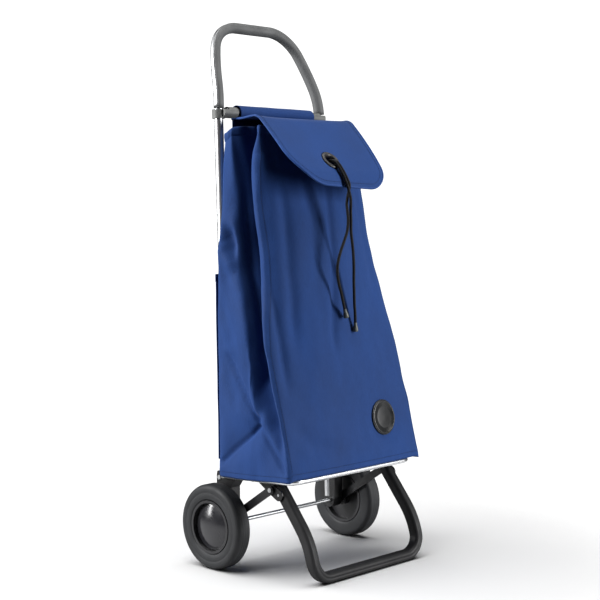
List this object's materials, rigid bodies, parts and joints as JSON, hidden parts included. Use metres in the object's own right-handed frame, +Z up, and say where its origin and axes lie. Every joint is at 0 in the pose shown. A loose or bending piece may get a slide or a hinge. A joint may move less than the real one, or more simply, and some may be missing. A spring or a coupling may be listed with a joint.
{
  "type": "folding shopping trolley",
  "caption": "Two-wheeled folding shopping trolley: tubular handle frame, blue fabric bag with flap and drawstring, and a folding shelf with a U-shaped stand.",
  "frame": {"origin": "on the floor, below the middle of the whole trolley", "axes": "+Z up, -Y to the front where the flap and the stand are, +X to the right of a person facing the front"},
  "size_m": [0.413, 0.3407, 1.0674],
  "materials": {
    "aluminium_tube": "satin anodised tube",
    "grip_grey": "soft grey grip cover",
    "clamp_grey": "moulded grey plastic",
    "bracket_black": "moulded black plastic",
    "stand_grey": "grey powder coat",
    "steel": "zinc-plated steel",
    "wheel_tyre": "matt dark grey tyre",
    "wheel_hub": "moulded dark grey plastic",
    "hub_cap": "glossy grey plastic",
    "bush_white": "natural acetal",
    "bag_fabric": "blue coated polyester weave",
    "binding_tape": "blue woven binding tape",
    "board": "black fluted plastic board",
    "cord_black": "black braided cord",
    "cord_end_grey": "grey moulded cord end",
    "eyelet_black": "black moulded eyelet",
    "badge_black": "dark moulded badge"
  },
  "bodies": {
    "frame": {"left_upright": "aluminium_tube", "right_upright": "aluminium_tube", "handle_tube": "aluminium_tube", "handle_grip": "grip_grey", "crossbar_tube": "aluminium_tube", "left_crossbar_clamp": "clamp_grey", "right_crossbar_clamp": "clamp_grey", "clamp_screws": "steel", "left_axle_bracket": "bracket_black", "right_axle_bracket": "bracket_black", "bracket_rivets": "steel", "axle_rod": "steel", "axle_end_nuts": "bracket_black", "axle_washers": "steel", "shelf_pivot_pins": "steel", "hanging_sleeve": "bag_fabric", "bag_shell": "bag_fabric", "rear_pocket": "bag_fabric", "drawstring_hem": "bag_fabric"},
    "left_wheel": {"left_tyre": "wheel_tyre", "left_wheel_hub": "wheel_hub", "left_hub_cap": "hub_cap", "left_wheel_bush": "bush_white"},
    "right_wheel": {"right_tyre": "wheel_tyre", "right_wheel_hub": "wheel_hub", "right_hub_cap": "hub_cap", "right_wheel_bush": "bush_white"},
    "shelf": {"shelf_frame": "aluminium_tube", "shelf_end_plugs": "bracket_black", "stand_pivot_pins": "steel"},
    "stand": {"stand_tube": "stand_grey", "left_stand_plate": "bracket_black", "right_stand_plate": "bracket_black", "stand_plate_rivets": "steel"},
    "left_link": {"left_strut": "bracket_black", "left_strut_rivet": "steel"},
    "right_link": {"right_strut": "bracket_black", "right_strut_rivet": "steel"},
    "board": {"base_board": "board"},
    "badge": {"badge_disc": "badge_black", "badge_ring": "badge_black", "badge_backing": "badge_black"},
    "flap": {"flap_panel": "bag_fabric", "flap_binding": "binding_tape", "grommet_front": "eyelet_black", "grommet_back": "eyelet_black", "left_cord": "cord_black", "right_cord": "cord_black"},
    "cord_tips": {"left_cord_end": "cord_end_grey", "right_cord_end": "cord_end_grey"}
  },
  "joints": [
    {"name": "left_wheel_spin", "type": "hinge", "parent": "frame", "child": "left_wheel", "pos_m": [-0.1885, 0.06823, 0.0825], "axis": [1, 0, 0], "continuous": true},
    {"name": "right_wheel_spin", "type": "hinge", "parent": "frame", "child": "right_wheel", "pos_m": [0.1885, 0.06823, 0.0825], "axis": [1, 0, 0], "continuous": true},
    {"name": "shelf_fold", "type": "hinge", "parent": "frame", "child": "shelf", "pos_m": [0, 0.06023, 0.18], "axis": [-1, 0, 0], "range_deg": [0, 80], "deforming": ["bag_shell", "rear_pocket", "left_cord", "right_cord"]},
    {"name": "stand_fold", "type": "hinge", "parent": "shelf", "child": "stand", "pos_m": [0, -0.02377, 0.1846], "axis": [1, 0, 0], "range_deg": [0, 109]},
    {"name": "left_strut_swing", "type": "hinge", "parent": "frame", "child": "left_link", "pos_m": [-0.166, 0.06823, 0.0825], "axis": [-1, 0, 0], "range_deg": [0, 41]},
    {"name": "right_strut_swing", "type": "hinge", "parent": "frame", "child": "right_link", "pos_m": [0.166, 0.06823, 0.0825], "axis": [-1, 0, 0], "range_deg": [0, 41]},
    {"name": "base_lift", "type": "slide", "parent": "frame", "child": "board", "axis": [0, 0, 1], "range_m": [0, 0.26]},
    {"name": "badge_lift", "type": "slide", "parent": "frame", "child": "badge", "axis": [0, 0, 1], "range_m": [0, 0.222]},
    {"name": "flap_open", "type": "hinge", "parent": "frame", "child": "flap", "pos_m": [0, 0.08373, 0.8695], "axis": [-1, 0, 0], "range_deg": [0, 70]},
    {"name": "cord_ends_lift", "type": "slide", "parent": "flap", "child": "cord_tips", "axis": [0, 0, 1], "range_m": [0, 0.149]}
  ],
  "couplings": [
    {"joint": "stand_fold", "follows": "shelf_fold", "ratio": 1.3565},
    {"joint": "left_strut_swing", "follows": "shelf_fold", "ratio": 0.5059},
    {"joint": "right_strut_swing", "follows": "shelf_fold", "ratio": 0.5059},
    {"joint": "base_lift", "follows": "shelf_fold", "m_per_rad": 0.1841},
    {"joint": "badge_lift", "follows": "shelf_fold", "m_per_rad": 0.1575},
    {"joint": "cord_ends_lift", "follows": "shelf_fold", "m_per_rad": 0.1053}
  ]
}
